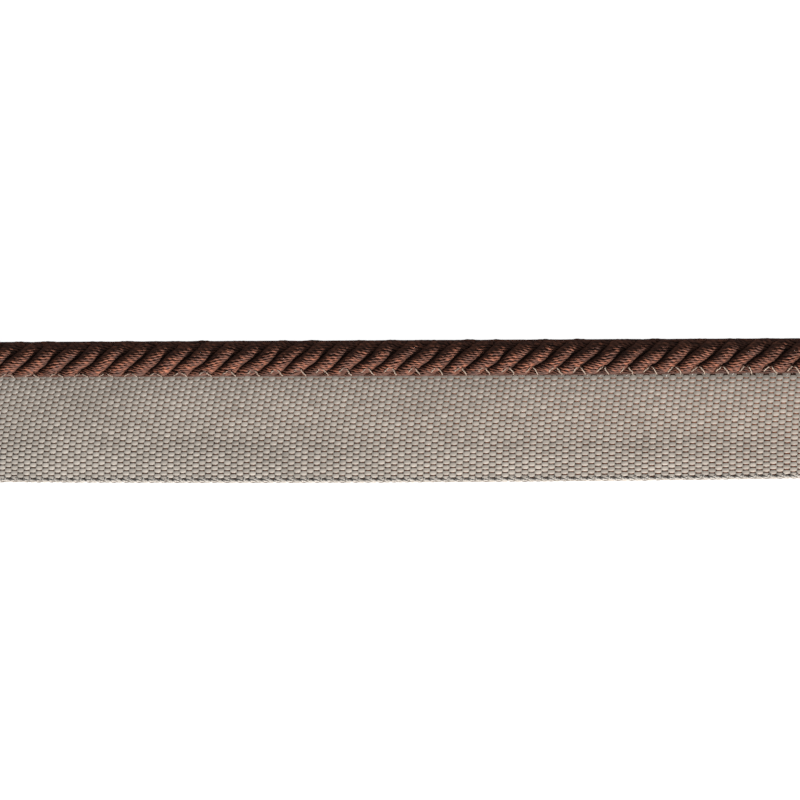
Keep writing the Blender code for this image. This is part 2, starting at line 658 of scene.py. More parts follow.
def cord_tree():
    tree, given = new_tree(
        "wind_strand",
        Yarns=20,
        Rings=420,
        Sides=5,
        Strand=0.0,
        Length=0.12,
        Yarn_Radius=0.00015,
        Yarn_Circle=0.000908,
        Yarn_Turn=-1080.0,
        Crowding=0.6,
        Ply_Length=0.00078,
        Ply_Slant=0.00004,
        Ply_Swell=0.34,
        Unevenness=1.0,
        Seed=1.0,
        Material="",
    )
    seed = given["Seed"]
    tubes = straight_yarns(tree, given)
    even, side_y, side_z = separated(tree, position(tree))
    yarn = read_attribute(tree, "yarn")
    step = calc(tree, "DIVIDE", 2 * math.pi, given["Yarns"])
    x = crowded_place(tree, given, even, yarn, step)
    rest = combined(
        tree,
        x,
        times_plus(tree, side_y, given["Yarn Radius"], times(tree, yarn, REST_STEP)),
        times_plus(tree, side_z, given["Yarn Radius"], seed),
    )
    tubes = stored(tree, tubes, "rest", rest, "FLOAT_VECTOR")
    spread = combined(tree, times(tree, x, LUMP_SCALE), times(tree, yarn, LUMP_STEP), 0.0)
    lump = times(tree, wavering(tree, spread, 1.0, seed), given["Unevenness"])
    stray = wavering(tree, spread, STRAY_SCALE, plus(tree, seed, STRAY_SEED))
    stray = times(tree, stray, given["Unevenness"])

    # The two plies of a yarn, as a count of ply backs along it
    plies = times_plus(tree, yarn, PLY_STEP, calc(tree, "DIVIDE", x, given["Ply Length"]))
    plies = times_plus(tree, lump, LUMP_ON_PLIES, plus(tree, plies, seed))
    back = calc(tree, "ABSOLUTE", calc(tree, "SINE", times(tree, plies, math.pi)))
    aside = times(tree, given["Ply Slant"], calc(tree, "SINE", times(tree, plies, 2 * math.pi)))
    single = {"Vector": combined(tree, calc(tree, "FLOOR", plies), yarn, seed)}
    chance = node(tree, "ShaderNodeTexWhiteNoise", single, noise_dimensions="3D").outputs["Value"]
    tubes = stored(tree, tubes, "tone", calc(tree, "POWER", chance, TONE_POWER))
    # Painted shade: a yarn is lighter on the side facing out of its strand and on its ply backs, darker
    # between them.
    on_top = times_plus(tree, side_z, TOP_SHARE, TOP_MIDDLE)
    painted_light_mask = times(tree, on_top, times_plus(tree, back, PLY_SHARE, PLY_LEAST))
    tubes = stored(tree, tubes, "painted_light_mask", painted_light_mask)

    # The yarn's section, then its turn in the strand, then the strand's turn in the cord
    swell = times(tree, given["Ply Swell"], calc(tree, "SUBTRACT", back, PLY_MIDDLE))
    radius = times(tree, given["Yarn Radius"], plus(tree, times_plus(tree, lump, LUMP_SWELL, 1.0), swell))
    own = combined(tree, x, times_plus(tree, side_y, radius, aside), times(tree, side_z, radius))
    circle = times_plus(tree, stray, STRAY_SIZE, given["Yarn Circle"])
    lifted = vector_sum(tree, own, combined(tree, 0.0, 0.0, circle))
    yarn_angle = times_plus(tree, yarn, step, times(tree, x, given["Yarn Turn"]))
    yarn_angle = times_plus(tree, lump, LUMP_TURN, yarn_angle)
    in_strand = vector_sum(tree, turned(tree, lifted, yarn_angle), (0, 0, STRAND_CENTRES))
    slack = times_plus(tree, x, -TWIST_EASING, 1.0)
    grooves = times(tree, calc(tree, "DIVIDE", x, STRAND_PITCH), slack)
    strand = plus(tree, given["Strand"], GROOVE_PHASE + 0.5)
    strand_angle = times(tree, plus(tree, grooves, strand), 2 * math.pi / STRANDS)
    in_cord = vector_sum(tree, turned(tree, in_strand, strand_angle), (0, AXIS_Y, AXIS_HEIGHT))
    finish_tree(tree, tubes, in_cord, given["Material"])
    return tree


WIND = cord_tree()
print("cord tree with", len(WIND.nodes), "nodes")

# %% [markdown]
# The yarns round each strand's outside are all that shows, and a heart fills the strand behind them, out to
# the cut ends; its dark colour is painted shade. The wound cord is then pressed. Each strand fills its fifth
# of the cord, so only a narrow groove is left beside it, a shallower one at the seam and hardly any on the
# far side. The cord is also a little uneven along its length, and each stitch pinches it.
#
# The same sums paint shade on the yarns, because a groove is darker than its few yarns can show: the yarns'
# painted shade mask falls in the grooves, along the seam, under the stitches and on the far side. Last,
# points below the surface or beyond the seam are drawn back, as the solid's are.

# %% Press and settle the cord
GROOVE_DEPTH = 0.00078
GROOVE_SHARPNESS = 2.3
# The grooves' painted shade: full below the first distance from the axis, gone above the second
GROOVE_DARK_FROM = 0.00186
GROOVE_DARK_TO = 0.00236
UNEVEN_TURN = 0.05
UNEVEN_SIZE = 0.00008
SOFT_BOTTOM = 0.0006
SEAM_PRESS_ROOM = 0.00013
SEAM_PRESS_LEFT = 0.25
FAR_SIDE_FROM = 0.0019
FAR_GROOVE_LEFT = 0.05
NEAR_GROOVE_LEFT = 0.35
# Painted shade along the seam and on the far side: how much, and over which way it grows
SEAM_SHADE = 0.78
SEAM_SHADE_FROM = 0.0011
SEAM_SHADE_TO = 0.0019
FAR_SHADE = 0.18
FAR_SHADE_FROM = -0.0010
FAR_SHADE_TO = 0.0006
PINCH_ALONG = 0.00078
PINCH_HALF_LENGTH = 0.00050
PINCH_FROM_AXIS = 0.00150
PINCH_HALF_WIDTH = 0.00050
PINCH_DEPTH = 0.00022
# How much painted shade a stitch's pinch adds
PINCH_DARK = 0.25
NEAR_SIDE_FROM = 0.45
NEAR_SIDE_OVER = 0.35
LONG_WAVE = 0.0071
MIDDLE_WAVE = 0.0047
SHORT_WAVE = 0.0033


def strand_azimuth(x, strand):
    """The strand's middle as an angle about the cord's axis, from +Z towards +Y, as in the tree."""
    grooves = x / STRAND_PITCH * (1 - TWIST_EASING * x)
    return (grooves + strand + GROOVE_PHASE + 0.5) * 2 * math.pi / STRANDS


def unevenness(x, azimuth):
    """A small turn about the axis and a small swelling, which change along and round the cord."""
    long_wave = np.sin(2 * math.pi * x / LONG_WAVE + 3.0 * np.sin(azimuth + 0.4))
    short_wave = np.sin(2 * math.pi * x / SHORT_WAVE + 2.5 * np.cos(azimuth + 1.3))
    middle_wave = np.sin(2 * math.pi * x / MIDDLE_WAVE + 4.0 * np.cos(azimuth - 0.8))
    return UNEVEN_TURN * (long_wave + 0.6 * short_wave), 0.6 * middle_wave + 0.4 * short_wave


def pinch(points):
    """How much a stitch pulls the cord in at each point, from 0 to 1, between the stitch's two legs."""
    middles = np.array([stitch_place(number) + PINCH_ALONG for number in range(STITCHES)])
    along = np.abs(points[:, :1] - middles).min(axis=1) / PINCH_HALF_LENGTH
    across = (AXIS_Y - points[:, 1] - PINCH_FROM_AXIS) / PINCH_HALF_WIDTH
    above = np.clip((points[:, 2] - AXIS_HEIGHT) / PINCH_HALF_WIDTH, 0, 1)
    return np.exp(-(along**2) - across**2) * above


def press_strand(points, strand):
    """Press a round strand into its fifth of the cord: flat outside, with a narrow groove beside it."""
    y = points[:, 1] - AXIS_Y
    z = points[:, 2] - AXIS_HEIGHT
    away = np.hypot(y, z)
    angle = np.arctan2(y, z) - strand_azimuth(points[:, 0], strand)
    angle = (angle + math.pi) % (2 * math.pi) - math.pi
    share = np.clip(np.abs(angle) / (math.pi / STRANDS), 0, 1)
    near = np.clip(np.abs(angle), 0, math.pi / STRANDS)
    round_edge = STRAND_CENTRES * np.cos(near) + np.sqrt(
        (CORD_RADIUS - STRAND_CENTRES) ** 2 - (STRAND_CENTRES * np.sin(near)) ** 2
    )
    far_side = np.clip(y / away, 0, 1) ** 2
    near_side = np.clip((-y / away - NEAR_SIDE_FROM) / NEAR_SIDE_OVER, 0, 1)
    filled = np.maximum(far_side * (1 - FAR_GROOVE_LEFT), near_side * (1 - NEAR_GROOVE_LEFT))
    pressed_edge = CORD_RADIUS - GROOVE_DEPTH * share**GROOVE_SHARPNESS * (1 - filled)
    outer = np.clip(away / round_edge * 2 - 1, 0, 1)
    grown = 1 + (pressed_edge / round_edge - 1) * outer
    pinched = pinch(points)
    turn, lump = unevenness(points[:, 0], np.arctan2(y, z))
    size = grown + (UNEVEN_SIZE * lump - PINCH_DEPTH * pinched) / away
    points[:, 1] = AXIS_Y + (y * np.cos(turn) + z * np.sin(turn)) * size
    points[:, 2] = AXIS_HEIGHT + (z * np.cos(turn) - y * np.sin(turn)) * size
    # The yarns' painted shade: darker in the grooves, along the seam, on the far side and under each stitch
    raised = way_from(away * grown, GROOVE_DARK_FROM, GROOVE_DARK_TO)
    seam_shade = SEAM_SHADE * way_from(-y, SEAM_SHADE_FROM, SEAM_SHADE_TO)
    far_shade = FAR_SHADE * way_from(y, FAR_SHADE_FROM, FAR_SHADE_TO)
    return raised * (1 - np.maximum(seam_shade, far_shade)) * (1 - PINCH_DARK * pinched)


def settle_cord(points):
    """Draw the points back from the surface below and from the tape's edge, and even out the far side."""
    z = points[:, 2]
    lowest = AXIS_HEIGHT - CORD_RADIUS
    raised = (z - lowest) * SOFT_BOTTOM / (SOFT_BOTTOM - lowest)
    points[:, 2] = np.where(z < SOFT_BOTTOM, np.maximum(raised, 0.0), z)
    across = AXIS_Y - points[:, 1]
    start = sewn_side(points[:, 0]) - loop_room(points[:, 0]) - SEAM_PRESS_ROOM
    over = np.maximum(across - start, 0.0)
    across = across - over * (1 - SEAM_PRESS_LEFT)
    far = way_from(-across, FAR_SIDE_FROM, CORD_RADIUS)
    far = (CORD_RADIUS - FAR_SIDE_FROM) * (far - far**2)
    points[:, 1] = AXIS_Y - across + far
    return points


# %% Wind the five strands
HEART_RADIUS = 0.00095
HEART_SHADE = 0.4
END_RECESS = 0.00015


def wound(name, material, strand, **sizes):
    """A strand's yarns or its heart, wound, pressed into the cord and settled."""
    made = grow(name, WIND, Material=material, Strand=float(strand), Seed=float(strand + 1), **sizes)
    points = points_of(made.data)
    raised = press_strand(points, strand)
    put_points(made.data, settle_cord(points))
    # The tree's painted shade, darkened further by the press. A heart takes more painted shade, so it stays
    # dark inside the cord, but not at its cut ends.
    shade = made.data.attributes["painted_light_mask"].data
    painted_light_mask = array_of(shade, "value").astype(np.float64) * raised
    if material is cord_heart:
        cut = np.abs(points[:, 0]) > HALF_LENGTH - 2 * END_RECESS
        painted_light_mask = np.where(cut, 1.0, HEART_SHADE * painted_light_mask)
    shade.foreach_set("value", painted_light_mask.astype(np.float32))
    print(name, triangle_count(made.data), "triangles")
    return made


cord_pieces = []
for strand in range(STRANDS):
    yarns = wound(
        f"strand_{strand + 1}",
        cord_yarn,
        strand,
        Length=2 * HALF_LENGTH,
    )
    heart = wound(
        f"strand_heart_{strand + 1}",
        cord_heart,
        strand,
        Yarns=1,
        Rings=140,
        Sides=10,
        Crowding=0.0,
        Ply_Slant=0.0,
        Ply_Swell=0.0,
        Unevenness=0.0,
        Yarn_Radius=HEART_RADIUS,
        Yarn_Circle=0.0,
        Length=2 * (HALF_LENGTH - END_RECESS),
    )
    cord_pieces += [yarns, heart]

# %% [markdown]
# ## The squared paper
#
# A weaver plans a cloth on squared paper, and this script does the same. There a column is one pick of
# weft, and a row is one end of warp. Yarns are first woven on that paper, where every crossing is one
# square, and are then laid on the strip. `lay` is the only place that knows the real trim: how wide each
# pick is, how the picks lean like "/" near the cord, how the rows close up at both edges, and how the
# tape comes down from the cord and lies on the surface.

# %% From squared paper to the strip
PICK_WIDTH = 0.000812
PICK_WIDENING = 0.00085
FIRST_END = 0.00016
LAST_END = 0.00022
WARP_ENDS = 39
EDGE_CLOSING = 0.08
MIDDLE_END = 20.5
LEAN = 0.19
LEAN_CHANGE = 2.0
LEAN_UPRIGHT_AT = 0.6
LEAN_POWER = 2.5
CLOTH_MIDDLE = 0.00027
CUT_FRAY = 0.00022


def tape_underside(x, across):
    """How high the tape's underside is: down from the seam, then flat, with a few soft buckles."""
    height = JOIN_HEIGHT * (1 - np.sin(math.pi / 2 * np.minimum(across / RAMP_RUN, 1)))
    way = np.clip(across / TAPE_WIDTH, 0, 1)
    for place, spread, rise in BUCKLES:
        near = np.exp(-(((x - place) / spread) ** 2))
        height += rise * np.sin(math.pi * way) ** 2 * near
    return np.maximum(height, 0)


def local_width(x):
    """The tape's width here. Its outer edge bows in a little towards the ends, as on the solid."""
    return TAPE_WIDTH - EDGE_BOW * x**2 + SEAM_SHIFT + SEAM_SLANT * x


def depth_of(row):
    """The distance from the seam to a row of the squared paper, on a strip of even width."""
    half = WARP_ENDS - 2 - MIDDLE_END + 1
    way = (row - MIDDLE_END) / half
    first = MIDDLE_END / half
    closed = EDGE_CLOSING * half / 4 * (way**4 * np.sign(way) + first**4)
    last_way = (WARP_ENDS - 1 - MIDDLE_END) / half
    last = WARP_ENDS - 1 - EDGE_CLOSING * half / 4 * (last_way**4 + first**4)
    pitch = (TAPE_WIDTH - LAST_END - FIRST_END) / last
    return FIRST_END + pitch * (row - closed)


def along_of(column, depth):
    """The place along the strip of a column, which leans where it nears the cord."""
    x = PICK_WIDTH / PICK_WIDENING * (np.exp(PICK_WIDENING * column) - 1)
    way = np.clip(depth / TAPE_WIDTH, 0, 1)
    lean = TAPE_WIDTH * (LEAN_UPRIGHT_AT - way + (1 - LEAN_UPRIGHT_AT) * way**LEAN_POWER)
    return x + (LEAN - LEAN_CHANGE * x) * lean


def on_tape(x, depth, height):
    """A point this far along, this far from the seam and this high over the cloth's middle."""
    across = depth * local_width(x) / TAPE_WIDTH
    step = 0.00005
    base = tape_underside(x, across)
    slope = (tape_underside(x, across + step) - tape_underside(x, np.maximum(across - step, 0))) / (2 * step)
    size = np.sqrt(1 + slope**2)
    lifted = height + CLOTH_MIDDLE
    y = seam_y(x) - across + slope / size * lifted
    z = base + lifted / size
    return np.stack([x, y, z], axis=1)


def lay(column, row, height):
    depth = depth_of(row)
    return on_tape(along_of(column, depth), depth, height)


def column_at(x, row):
    """The column that meets a place along the strip on this row, by halving."""
    low, high = -120.0, 120.0
    depth = depth_of(np.float64(row))
    for _ in range(40):
        middle = (low + high) / 2
        if along_of(middle, depth) < x:
            low = middle
        else:
            high = middle
    return (low + high) / 2


corners = [column_at(sign * HALF_LENGTH, row) for sign in (-1, 1) for row in (0, WARP_ENDS - 1)]
print("the cut ends meet columns", [round(corner, 1) for corner in corners])
print("rows", [round(float(depth_of(row)) * 1000, 2) for row in (0, 10, 20, 30, 38)], "mm from the seam")

# %% [markdown]
# ## Weaving
#
# In plain weave each yarn goes over one crossing yarn and under the next, and its neighbour does the
# reverse. Here the warp is set so close that it covers the weft: every over-going float swells across its
# neighbours, and only a thin brown slit of weft shows between one float and the next. The tree makes that
# from one cosine. It is 1 where the yarn is on top and -1 where it is below, and it gives both the height
# and the swelling.
#
# A mesh of loose points goes in, one point for each yarn, which carries the yarn's number and the places
# where it starts and ends. Beyond those places the tube is folded onto its last ring, and the doubles are
# merged afterwards.

# %% The weaving tree
NOISE_PER_CROSSING = 0.9
NOISE_PER_YARN = 5.3
WIDTH_WAVER = 0.07
THICKNESS_WAVER = 0.05
HEIGHT_WAVER = 0.000012
LIT_SHARE = 0.45
LIT_MIDDLE = 0.60

# What wavers over the cloth: the noise's scale and seed for each
FATTER = (1.0, 3.0)
ASIDE = (0.35, 7.0)
HIGHER = (0.8, 12.0)
TONE = (0.55, 19.0)


def squared(tree, share, power):
    """Push a place on a round section outwards, so that the section gets a flat back and steep sides."""
    size = calc(tree, "POWER", calc(tree, "ABSOLUTE", share), power)
    return calc(tree, "MULTIPLY", calc(tree, "SIGN", share), size)


def weaving_tree():
    tree, given = new_tree(
        "weave_yarns",
        Crossings=150,
        First_Crossing=-77.0,
        Rings_Per_Crossing=4,
        Ring_Shift=0.075,
        Sides=8,
        Squareness=0.58,
        Rise=0.00009,
        Half_Thickness=0.00006,
        Float_Half_Width=0.82,
        Dip_Half_Width=0.66,
        Wander=0.05,
        Shingle=0.000015,
        Phase=0.0,
        Crossing_Size=0.0008,
        Material="",
    )
    rings = times(tree, given["Crossings"], given["Rings Per Crossing"])
    middle = times_plus(tree, given["Crossings"], 0.5, given["First Crossing"])
    tube = tube_along_x(tree, given["Sides"], rings, given["Crossings"], middle)
    tubes = copied(tree, given["Geometry"], tube)

    even, side, up = separated(tree, position(tree))
    side = squared(tree, side, given["Squareness"])
    up = squared(tree, up, given["Squareness"])
    shift = calc(tree, "SINE", times(tree, even, 2 * math.pi))
    place = times_plus(tree, shift, given["Ring Shift"], even)
    yarn = read_attribute(tree, "yarn")
    kept = calc(tree, "MAXIMUM", place, read_attribute(tree, "start"))
    kept = calc(tree, "MINIMUM", kept, read_attribute(tree, "end"))

    # The cosine, made flatter on top and below by two turns of the same smooth step
    turns = plus(tree, kept, plus(tree, yarn, given["Phase"]))
    swing = calc(tree, "COSINE", times(tree, turns, math.pi))
    for _ in range(2):
        square = times(tree, swing, swing)
        swing = times(tree, swing, times_plus(tree, square, -0.5, 1.5))
    swell = times(tree, swing, swing)

    spread = combined(tree, times(tree, kept, NOISE_PER_CROSSING), times(tree, yarn, NOISE_PER_YARN), 0.0)
    fatter, aside, higher, tone = (wavering(tree, spread, *own) for own in (FATTER, ASIDE, HIGHER, TONE))
    tubes = stored(tree, tubes, "tone", times_plus(tree, tone, 0.5, 0.5))
    rest = combined(
        tree,
        times(tree, kept, given["Crossing Size"]),
        times_plus(tree, side, given["Half Thickness"], times(tree, yarn, REST_STEP)),
        times(tree, up, given["Half Thickness"]),
    )
    tubes = stored(tree, tubes, "rest", rest, "FLOAT_VECTOR")
    grown = calc(tree, "SUBTRACT", given["Float Half Width"], given["Dip Half Width"])
    width = times_plus(tree, grown, swell, given["Dip Half Width"])
    width = times(tree, width, times_plus(tree, fatter, WIDTH_WAVER, 1.0))
    across = times_plus(tree, side, width, yarn)
    across = times_plus(tree, aside, given["Wander"], across)
    thick = times(tree, given["Half Thickness"], times_plus(tree, fatter, THICKNESS_WAVER, 1.0))
    shingle = times(tree, given["Shingle"], times(tree, side, swell))
    height = plus(tree, times(tree, swing, given["Rise"]), shingle)
    height = times_plus(tree, higher, HEIGHT_WAVER, times_plus(tree, up, thick, height))
    # Painted shade: the yarn is darker where it dips and towards its sides, lighter on its back.
    level = times_plus(tree, swing, LIT_SHARE, LIT_MIDDLE)
    painted_light_mask = times(tree, level, times_plus(tree, up, LIT_SHARE, LIT_MIDDLE))
    tubes = stored(tree, tubes, "painted_light_mask", painted_light_mask)
    finish_tree(tree, tubes, combined(tree, kept, across, height), given["Material"])
    return tree


WEAVE = weaving_tree()
print("weaving tree with", len(WEAVE.nodes), "nodes")

# %% Helpers that set up and finish a set of yarns
def yarn_points(name, yarns):
    """A mesh of loose points, one for each (number, start, end)."""
    mesh = bpy.data.meshes.new(name)
    mesh.from_pydata([(0, 0, 0)] * len(yarns), [], [])
    for label, column in (("yarn", 0), ("start", 1), ("end", 2)):
        values = [float(yarn[column]) for yarn in yarns]
        mesh.attributes.new(label, "FLOAT", "POINT").data.foreach_set("value", values)
    return mesh


MERGE_WITHIN = 1e-8


def merged(mesh):
    """Merge the rings that were folded onto a yarn's end, and drop the faces between them."""
    work = bmesh.new()
    work.from_mesh(mesh)
    bmesh.ops.remove_doubles(work, verts=work.verts, dist=MERGE_WITHIN)
    work.to_mesh(mesh)
    work.free()


FLATNESS = 1.6


def flat_backed(mesh):
    """Let a yarn's wide faces rule the shading at their edges, so that its flat back also looks flat."""
    normals = array_of(mesh.polygons, "normal", 3)
    areas = array_of(mesh.polygons, "area")
    sides = array_of(mesh.polygons, "loop_total", kind=np.int32)
    corners = array_of(mesh.loops, "vertex_index", kind=np.int32)
    ruled = normals.reshape(-1, 3) * ((areas / areas.max()) ** FLATNESS)[:, None]
    at_points = np.zeros((len(mesh.vertices), 3))
    np.add.at(at_points, corners, np.repeat(ruled, sides, axis=0))
    at_points /= np.maximum(np.linalg.norm(at_points, axis=1, keepdims=True), 1e-30)
    mesh.normals_split_custom_set_from_vertices(at_points.tolist())


dice = np.random.default_rng(11)


def cut_place(sign):
    """Where a yarn was cut: the strip's end, a little short of it where it frays."""
    return sign * (HALF_LENGTH - CUT_FRAY * dice.random())


# %% [markdown]
# The warp has 40 ends: the 39 that the rows are spaced by, and one more at the seam. One mesh of them all
# would be too heavy, so it is made in three bands. The weft goes straight across, lies lower, and is a
# thinner brown yarn. Its colour here is darker than at its turns along the edges, and that difference is
# painted shade and light. It is all that shows in the slits.

# %% Weave the warp and the weft
WARP_BANDS = 3
FIRST_ROW = -1
ALL_ENDS = WARP_ENDS - FIRST_ROW
FIRST_COLUMN = -79
LAST_COLUMN = 74
HALF_RING = 0.125
WEFT_FROM = -1.0
WEFT_TO = WARP_ENDS - 1.1
band_edges = [FIRST_ROW + band * ALL_ENDS // WARP_BANDS for band in range(WARP_BANDS + 1)]
cloth_pieces = []

for band in range(WARP_BANDS):
    rows = range(band_edges[band], band_edges[band + 1])
    ends = [(row, column_at(cut_place(-1), row), column_at(cut_place(1), row)) for row in rows]
    warp = grow(
        f"warp_band_{band + 1}",
        WEAVE,
        start=yarn_points("warp_numbers", ends),
        Crossings=LAST_COLUMN - FIRST_COLUMN,
        First_Crossing=FIRST_COLUMN - HALF_RING,
        Material=warp_yarn,
    )
    paper = points_of(warp.data)
    put_points(warp.data, lay(paper[:, 0], paper[:, 1], paper[:, 2]))
    merged(warp.data)
    warp.data.flip_normals()
    flat_backed(warp.data)
    print(warp.name, len(ends), "ends,", triangle_count(warp.data), "triangles")
    cloth_pieces.append(warp)

outer_rows = (0, WARP_ENDS - 1)
first_pick = math.ceil(max(column_at(-HALF_LENGTH + CUT_FRAY, row) for row in outer_rows))
last_pick = math.floor(min(column_at(HALF_LENGTH - CUT_FRAY, row) for row in outer_rows))
picks = [(column, WEFT_FROM, WEFT_TO) for column in range(first_pick, last_pick + 1)]
weft = grow(
    "weft",
    WEAVE,
    start=yarn_points("weft_numbers", picks),
    Crossings=WARP_ENDS + 1,
    First_Crossing=-2.0,
    Rings_Per_Crossing=1,
    Sides=5,
    Rise=0.00003,
    Half_Thickness=0.00009,
    Float_Half_Width=0.42,
    Dip_Half_Width=0.42,
    Wander=0.03,
    Shingle=0.0,
    Phase=1.0,
    Crossing_Size=0.00034,
    Material=weft_yarn,
)
paper = points_of(weft.data)
put_points(weft.data, lay(paper[:, 1], paper[:, 0], paper[:, 2]))
merged(weft.data)
print("weft", len(picks), "picks,", triangle_count(weft.data), "triangles")
cloth_pieces.append(weft)

# %% [markdown]
# ## The ground of the cloth
#
# Between the picks a real tape is closed by the yarns' own fuzz. Here a thin sheet at the cloth's middle
# does that, and its dark colour is painted shade between the yarns. It has the whole tape's shape.

# %% Lay the ground
GROUND_THICKNESS = 0.00006
GROUND_SIZE = 0.002
EDGE_INSET = 0.0003
TUCK = 0.0004


def make_ground():
    """A grid over the tape, laid on its shape and given a thin wall."""
    columns = round(2 * HALF_LENGTH / GROUND_SIZE)
    mesh = grid_mesh("weave_ground", columns, round(TAPE_WIDTH / GROUND_SIZE * 4), 1.0)
    grid = points_of(mesh)
    depth = (1 - grid[:, 1]) / 2 * (TAPE_WIDTH + TUCK - EDGE_INSET) - TUCK
    put_points(mesh, on_tape(grid[:, 0] * (HALF_LENGTH - EDGE_INSET), depth, np.zeros(len(grid))))
    made = linked("weave_ground", mesh)
    wall = made.modifiers.new("wall", "SOLIDIFY")
    wall.thickness = GROUND_THICKNESS
    wall.offset = 0.0
    kept_plain(made, wall)
    made.data.shade_smooth()
    # It carries no shade mask of its own, so it takes the weft's deep colour: painted shade between the
    # yarns.
    made.data.materials.append(weft_yarn)
    return made


ground = make_ground()
print("ground", triangle_count(ground.data), "triangles")

# %% [markdown]
# ## Thread
#
# The selvedge loops and the stitches are threads along a path. The paths are short chains of points,
# worked out from the weave and from the cord, and one tree spins yarn along all of them: it turns each
# chain into a curve, sets the plies side by side as the profile, and tilts the curve as it goes, so that
# the plies wind round each other.

# %% The thread tree
CHAIN_STEP = 0.013
THREAD_NOISE = 900.0
THREAD_SEED = 4.0
THREAD_LIT_SHARE = 0.55
THREAD_LIT_MIDDLE = 0.45


def thread_tree():
    tree, given = new_tree(
        "spin_thread",
        Plies=2,
        Sides=6,
        Ply_Radius=0.00004,
        Ply_Offset=0.00003,
        Turns_Per_Metre=1500.0,
        Material="",
    )
    curve = node(tree, "GeometryNodeMeshToCurve", {"Mesh": given["Geometry"]}).outputs[0]
    length = node(tree, "GeometryNodeSplineParameter").outputs["Length"]
    index = node(tree, "GeometryNodeInputIndex").outputs[0]
    curve = stored(tree, curve, "along", length)
    curve = stored(tree, curve, "chain", times(tree, index, CHAIN_STEP))
    turn = times(tree, length, times(tree, given["Turns Per Metre"], 2 * math.pi))
    curve = node(tree, "GeometryNodeSetCurveTilt", {"Curve": curve, "Tilt": turn}).outputs[0]

    apart = times(tree, given["Ply Offset"], -2.0)
    first = times(tree, given["Ply Offset"], calc(tree, "SUBTRACT", given["Plies"], 1.0))
    feeds = {
        "Count": given["Plies"],
        "Start Location": combined(tree, 0.0, first, 0.0),
        "Offset": combined(tree, 0.0, apart, 0.0),
    }
    plies = node(tree, "GeometryNodeMeshLine", feeds).outputs[0]
    feeds = {"Resolution": given["Sides"], "Radius": given["Ply Radius"]}
    circle = node(tree, "GeometryNodeCurvePrimitiveCircle", feeds).outputs[0]
    profile = stored(tree, copied(tree, plies, circle), "side", position(tree), "FLOAT_VECTOR")
    feeds = {"Curve": curve, "Profile Curve": profile, "Fill Caps": True}
    spun = node(tree, "GeometryNodeCurveToMesh", feeds).outputs[0]

    across, up, _ = separated(tree, read_attribute(tree, "side", "FLOAT_VECTOR"))
    along = read_attribute(tree, "along")
    chain = read_attribute(tree, "chain")
    spun = stored(tree, spun, "rest", combined(tree, along, across, plus(tree, up, chain)), "FLOAT_VECTOR")
    # Painted shade: a thread is lighter where it faces up and darker where it faces aside or down.
    facing = separated(tree, node(tree, "GeometryNodeInputNormal").outputs[0])[2]
    lit = {"Value": times_plus(tree, facing, THREAD_LIT_SHARE, THREAD_LIT_MIDDLE)}
    spun = stored(tree, spun, "painted_light_mask", node(tree, "ShaderNodeClamp", lit).outputs[0])
    spread = combined(tree, times(tree, along, THREAD_NOISE), chain, 0.0)
    tone = times_plus(tree, wavering(tree, spread, 1.0, THREAD_SEED), 0.5, 0.5)
    finish_tree(tree, stored(tree, spun, "tone", tone), None, given["Material"])
    return tree


SPIN = thread_tree()
print("thread tree with", len(SPIN.nodes), "nodes")


def chains_mesh(name, chains):
    """A mesh of open chains of edges."""
    points = []
    edges = []
    for chain in chains:
        edges += [(len(points) + step, len(points) + step + 1) for step in range(len(chain) - 1)]
        points += [tuple(point) for point in chain]
    mesh = bpy.data.meshes.new(name)
    mesh.from_pydata(points, edges, [])
    return mesh


def rounded(corners, steps):
    """A smooth chain through a few corner points (a Catmull-Rom curve)."""
    ends = np.vstack([2 * corners[0] - corners[1], corners, 2 * corners[-1] - corners[-2]])
    way = np.linspace(0, 1, steps, endpoint=False)[:, None]
    pieces = []
    for a, b, c, d in zip(ends[:-3], ends[1:-2], ends[2:-1], ends[3:]):
        square = (2 * a - 5 * b + 4 * c - d) * way**2
        cube = (3 * b - a - 3 * c + d) * way**3
        pieces.append((2 * b + (c - a) * way + square + cube) / 2)
    return np.vstack(pieces + [corners[-1:]])


# %% [markdown]
# The weft is one long yarn. At each edge it turns back into the next pick, and every turn stands out as a
# pale loop, one for each pair of picks; the turns are painted paler than the weft in the slits, which is
# painted light. The outer loops lie flattened on the surface. The loops along the seam are a pick apart from
# them, on the tape's first row, and show only towards the right, where the tape stands off the cord.

# %% Selvedge loops
LOOP_SKEW = 0.12
LOOP_REACH = 0.15
LOOP_MIDDLE = 0.00040
LOOP_FLATNESS = 0.40

# The corners of one turn: how many picks along, how many rows outwards, and how high
OUTER_LOOP = (
    (-0.36, -0.80, -0.00004),
    (-0.30, -0.35, 0.00009),
    (0.20, -0.08, 0.00015),
    (0.75, 0.02, 0.00015),
    (1.26, -0.22, 0.00009),
    (1.34, -0.75, -0.00004),
)
SEAM_LOOP = (
    (0.10, -0.9, -0.00010),
    (0.14, 0.20, -0.00004),
    (0.50, 0.52, 0.00002),
    (0.86, 0.30, 0.00006),
    (1.00, -0.20, 0.00006),
    (1.00, -0.9, -0.00006),
)


def selvedge_loops(shape, edge_row, outwards, first, way):
    """The turns of the weft along one edge. Each goes this way along and back under or over the last end."""
    chains = []
    for column in range(first, last_pick, 2):
        skew = LOOP_SKEW * dice.standard_normal()
        reach = 1 + LOOP_REACH * dice.standard_normal()
        corners = [(column + way * pick + skew * out, out * reach, height) for pick, out, height in shape]
        chain = rounded(np.array(corners), 2)
        chains.append(lay(chain[:, 0], edge_row + outwards * chain[:, 1], chain[:, 2]))
    return chains


